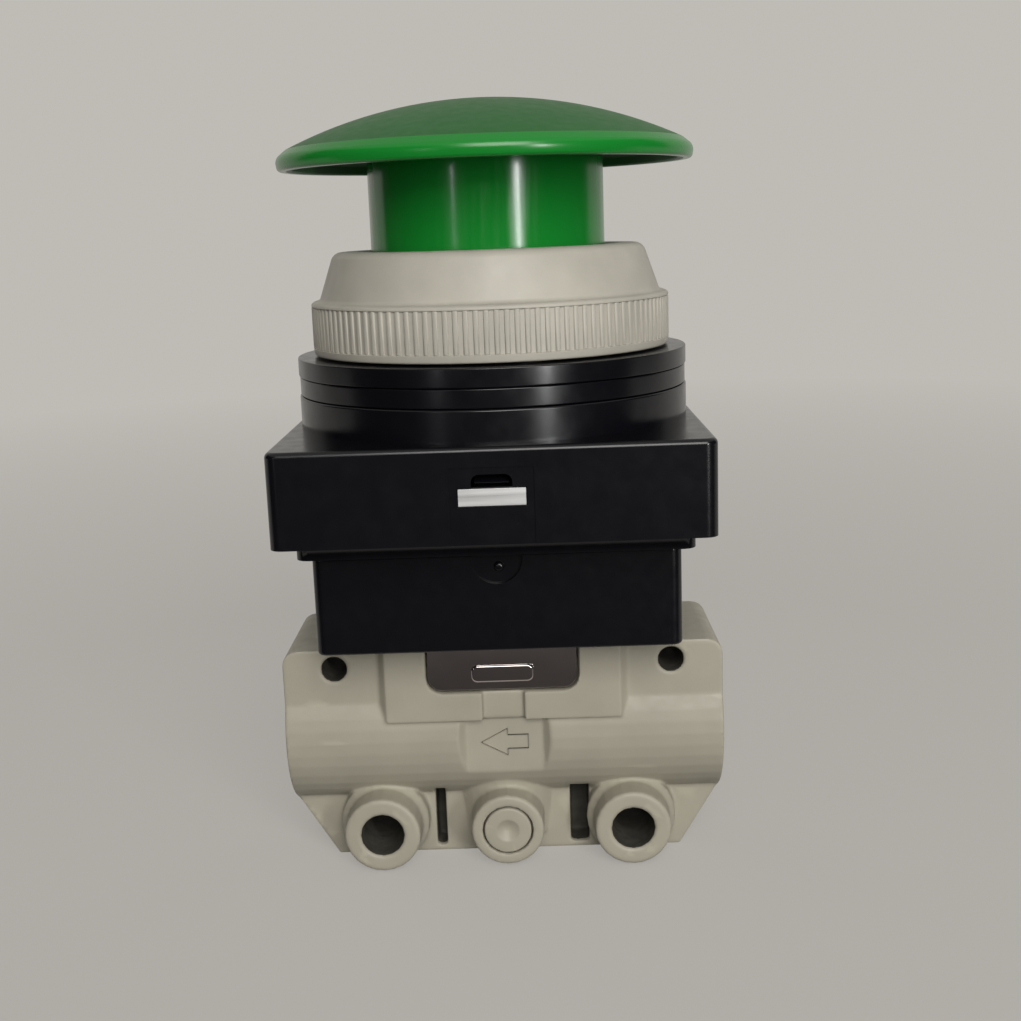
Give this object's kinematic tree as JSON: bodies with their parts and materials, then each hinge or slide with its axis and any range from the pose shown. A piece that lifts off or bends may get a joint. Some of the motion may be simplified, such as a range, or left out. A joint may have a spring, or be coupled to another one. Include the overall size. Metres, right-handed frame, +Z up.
{
  "type": "mushroom push-button valve",
  "caption": "Three-port poppet valve with end ports and cross mounting bosses, worked by a sprung panel-mount mushroom button with a knurled ring nut.",
  "frame": {"origin": "on the button's axis, in the plane of the valve body's lowest face", "axes": "+Z up the button's axis, +X along the body from the outlet port to the supply port, -Y the front, where the arrow pad is"},
  "size_m": [0.0434, 0.0406, 0.075],
  "materials": {
    "painted_casting": "greenish grey satin paint over a die casting",
    "brass": "turned",
    "nitrile_rubber": "moulded",
    "spring_steel": "drawn wire",
    "plated_steel": "bright plated sheet",
    "screw_steel": "zinc plated",
    "black_plastic": "moulded, satin",
    "off_white_plastic": "moulded, satin",
    "green_plastic": "moulded, satin crown and glossy stem"
  },
  "bodies": {
    "valve": {"valve_body": "painted_casting", "cross_hole_plug": "painted_casting", "valve_seat": "brass", "seat_ring_seal": "nitrile_rubber", "guide_ring_seal": "nitrile_rubber", "plunger_seal": "nitrile_rubber", "plunger_guide": "brass", "poppet_spring": "spring_steel", "plunger_spring": "spring_steel", "return_spring": "spring_steel", "actuator_bracket": "plated_steel", "bracket_screw_1": "screw_steel", "bracket_screw_2": "screw_steel", "lower_housing": "black_plastic", "adapter_plate": "black_plastic", "adapter_screw_1": "screw_steel", "adapter_screw_2": "screw_steel", "adapter_screw_3": "screw_steel", "adapter_screw_4": "screw_steel", "upper_housing": "black_plastic", "lower_clamp_ring": "black_plastic"},
    "clamp_ring": {"upper_clamp_ring": "black_plastic"},
    "nut": {"ring_nut": "off_white_plastic"},
    "button": {"mushroom_button": "green_plastic", "button_stop_ring": "screw_steel", "push_rod": "black_plastic"},
    "plunger": {"plunger": "brass"},
    "poppet": {"poppet": "brass", "poppet_seal": "nitrile_rubber"}
  },
  "joints": [
    {"name": "button_press", "type": "slide", "parent": "valve", "child": "button", "axis": [0, 0, -1], "range_m": [0, 0.0035], "stiffness_N_per_m": 600, "springref_m": -0.001, "deforming": ["return_spring"]},
    {"name": "plunger_slide", "type": "slide", "parent": "valve", "child": "plunger", "axis": [0, 0, -1], "range_m": [0, 0.0035], "deforming": ["plunger_spring"]},
    {"name": "poppet_slide", "type": "slide", "parent": "valve", "child": "poppet", "axis": [0, 0, -1], "range_m": [0, 0.0027], "deforming": ["poppet_spring"]},
    {"name": "clamp_ring_lift", "type": "slide", "parent": "valve", "child": "clamp_ring", "axis": [0, 0, 1], "range_m": [0, 0.0045]},
    {"name": "ring_nut_turn", "type": "hinge", "parent": "clamp_ring", "child": "nut", "pos_m": [0, 0, 0.055], "axis": [0, 0, 1], "range_deg": [0, 1080]}
  ],
  "couplings": [
    {"joint": "plunger_slide", "follows": "button_press", "ratio": 1},
    {"joint": "poppet_slide", "follows": "button_press", "ratio": 0.7714},
    {"joint": "clamp_ring_lift", "follows": "ring_nut_turn", "m_per_rad": 0.00023873}
  ]
}
